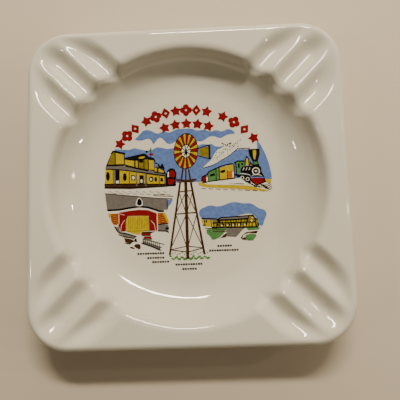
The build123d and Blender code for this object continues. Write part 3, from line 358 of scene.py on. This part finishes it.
def fired_ink(name, light, dark, patch_mm=1.1):
    """Overglaze ink, screened and fired: even colour that thins in small patches, a little
    less glossy than the glaze. The patches are drawn coarser than the real screen's
    dots, so that they show."""
    material, tree, shader = new_material(name)
    place = node(tree, "ShaderNodeTexCoord").outputs["Object"]
    patches = node(tree, "ShaderNodeTexNoise",
                   {"Vector": place, "Scale": per_metre(patch_mm), "Detail": 3.0})
    spread = node(tree, "ShaderNodeMapRange",
                  {"Value": patches.outputs["Fac"], "From Min": 0.3, "From Max": 0.7})
    colour = blend(tree, spread.outputs[0], linear(dark), linear(light))
    tree.links.new(colour, shader.inputs["Base Color"])
    bump = node(tree, "ShaderNodeBump",
                {"Height": patches.outputs["Fac"], "Strength": 0.06, "Distance": 0.05 * MM})
    tree.links.new(bump.outputs[0], shader.inputs["Normal"])
    shader.inputs["Roughness"].default_value = 0.09
    shader.inputs["IOR"].default_value = GLASSY_IOR
    return material


INKS = {
    "red": fired_ink("fired_iron_red_ink", "#861719", "#6E1013"),
    "yellow": fired_ink("fired_naples_yellow_ink", "#BFA718", "#AA9111"),
    "ochre": fired_ink("fired_ochre_ink", "#86781E", "#6E6118"),
    "black": fired_ink("fired_manganese_black_ink", "#13100E", "#0B0908"),
    "blue": fired_ink("fired_cobalt_blue_ink", "#667FB3", "#536BA1", 1.6),
    "green": fired_ink("fired_chrome_green_ink", "#56864B", "#436F3A"),
    "brown": fired_ink("fired_umber_ink", "#462A19", "#321C0F"),
    "grey": fired_ink("fired_grey_ink", "#706A64", "#625C55"),
    "orange": fired_ink("fired_orange_ink", "#BD691C", "#A55615"),
}

# the first ink with a word found in the node's name is the one it is printed in
INK_WORDS = (
    ("black", ("lines", "marks", "rings", "flecks", "vane_frame", "backing")),
    ("red", ("ornaments", "stars", "_red", "curtains")),
    ("ochre", ("shaded_walls", "folds", "windmill_vane")),
    ("yellow", ("yellow", "front_walls", "backcloth")),
    ("blue", ("sky",)),
    ("green", ("green", "grass", "pennant")),
    ("brown", ("tower_legs", "tower_braces", "base", "brown",
              "lattice", "ground", "shingles", "earth")),
    ("grey", ("grey", "stage_wall", "stage_floor", "roof", "path")),
    ("orange", ("side_panels", "rust")),
)


def ink_of(name):
    """The ink that a node is printed in, from the words in its name; black if none is."""
    for ink, words in INK_WORDS:
        if any(word in name for word in words):
            return INKS[ink]
    return INKS["black"]


def give(obj, material):
    """One material over the whole object."""
    obj.data.materials.clear()
    obj.data.materials.append(material)


give(glaze_skin(), ivory_glaze())
give(clay_body(), bare_clay())
for name, obj in nodes.items():
    if name != "glaze_coat" and name not in CLAY_NODES:
        give(obj, ink_of(name))


# ---------------------------------------------------------------- table, light, camera
TABLE_SIZE = 3.0


def pale_table():
    """A plain pale matt table top."""
    material, tree, shader = new_material("pale_matt_table")
    shader.inputs["Base Color"].default_value = linear("#CDBFA8")
    shader.inputs["Roughness"].default_value = 0.7
    bpy.ops.mesh.primitive_plane_add(size=TABLE_SIZE, location=(0, 0, TABLE_Z))
    table = bpy.context.active_object
    table.name = "table_top"
    give(table, material)


def aim(obj, target):
    """Points a lamp's face at a place."""
    away = obj.location - Vector(target)
    obj.rotation_euler = away.to_track_quat("Z", "Y").to_euler()


def soft_lamp(name, azimuth, elevation, distance, width, height, watts, colour):
    """A rectangular diffuser that faces the dish: degrees clockwise from +Y and up from
    the table, then metres and watts."""
    data = bpy.data.lights.new(name, "AREA")
    data.shape = "RECTANGLE"
    data.size = width
    data.size_y = height
    data.energy = watts
    data.color = linear(colour)[:3]
    lamp = bpy.data.objects.new(name, data)
    bpy.context.collection.objects.link(lamp)
    turn = math.radians(azimuth)
    rise = math.radians(elevation)
    lamp.location = Vector((math.sin(turn) * math.cos(rise), math.cos(turn) * math.cos(rise),
                            math.sin(rise))) * distance
    aim(lamp, (0, 0, RIM_Z))
    return lamp


def lights():
    """A long bright diffuser beyond the top edge, the wide soft wall under it, three small
    lamps to the right that spark on the left wall, one to the left, and a dim warm room."""
    soft_lamp("window_light", azimuth=8, elevation=50, distance=0.8,
              width=0.36, height=0.055, watts=7.3, colour="#FFF3E0")
    lit_wall = soft_lamp("lit_wall", azimuth=14, elevation=22, distance=1.2,
                         width=1.6, height=0.55, watts=6.4, colour="#FFF1DC")
    # a studio shortcut: it fills the shadows, but isn't mirrored as a pale patch
    lit_wall.visible_glossy = False
    for number, (azimuth, elevation) in enumerate(((72, 34), (88, 40), (108, 36))):
        soft_lamp(f"ceiling_lamp_{number}", azimuth, elevation, distance=0.7,
                  width=0.02, height=0.02, watts=0.38, colour="#FFEFD8")
    soft_lamp("far_lamp", azimuth=262, elevation=44, distance=0.7,
              width=0.03, height=0.02, watts=0.35, colour="#FFEFD8")
    room()


def room():
    """A warm room, lit on the window's side and dim on the viewer's."""
    world = bpy.data.worlds.new("room")
    world.use_nodes = True
    bpy.context.scene.world = world
    tree = world.node_tree
    back = tree.nodes["Background"]
    towards = node(tree, "ShaderNodeTexCoord").outputs["Generated"]
    parts = node(tree, "ShaderNodeSeparateXYZ", {"Vector": towards})
    glow = node(tree, "ShaderNodeMapRange", {"Value": parts.outputs["Y"], "From Min": -0.5,
                                             "From Max": 0.8, "To Min": 0.005, "To Max": 0.11})
    tree.links.new(glow.outputs[0], back.inputs["Strength"])
    back.inputs["Color"].default_value = linear("#F6E4C8")


CAMERA_ABOVE_RIM = 160.3 * MM
CAMERA_ACROSS = 9.1 * MM
CAMERA_ALONG = -22.5 * MM
CAMERA_TIP = 5.30             # degrees it looks off straight down, to the far side
CAMERA_LEAN = 1.56            # degrees it looks to the left
CAMERA_TURN = -1.95           # degrees about the upright; clockwise from above
LENS = 36.0                   # millimetres, on a frame as wide: a moderately wide view


def camera():
    """Almost overhead, a little towards the viewer."""
    data = bpy.data.cameras.new("camera")
    data.lens = LENS
    data.sensor_width = LENS
    data.clip_start = 0.01
    cam = bpy.data.objects.new("camera", data)
    bpy.context.collection.objects.link(cam)
    cam.location = CAMERA_ACROSS, CAMERA_ALONG, RIM_Z + CAMERA_ABOVE_RIM
    cam.rotation_euler = [math.radians(a) for a in (CAMERA_TIP, CAMERA_LEAN, CAMERA_TURN)]
    bpy.context.scene.camera = cam


pale_table()
lights()
camera()
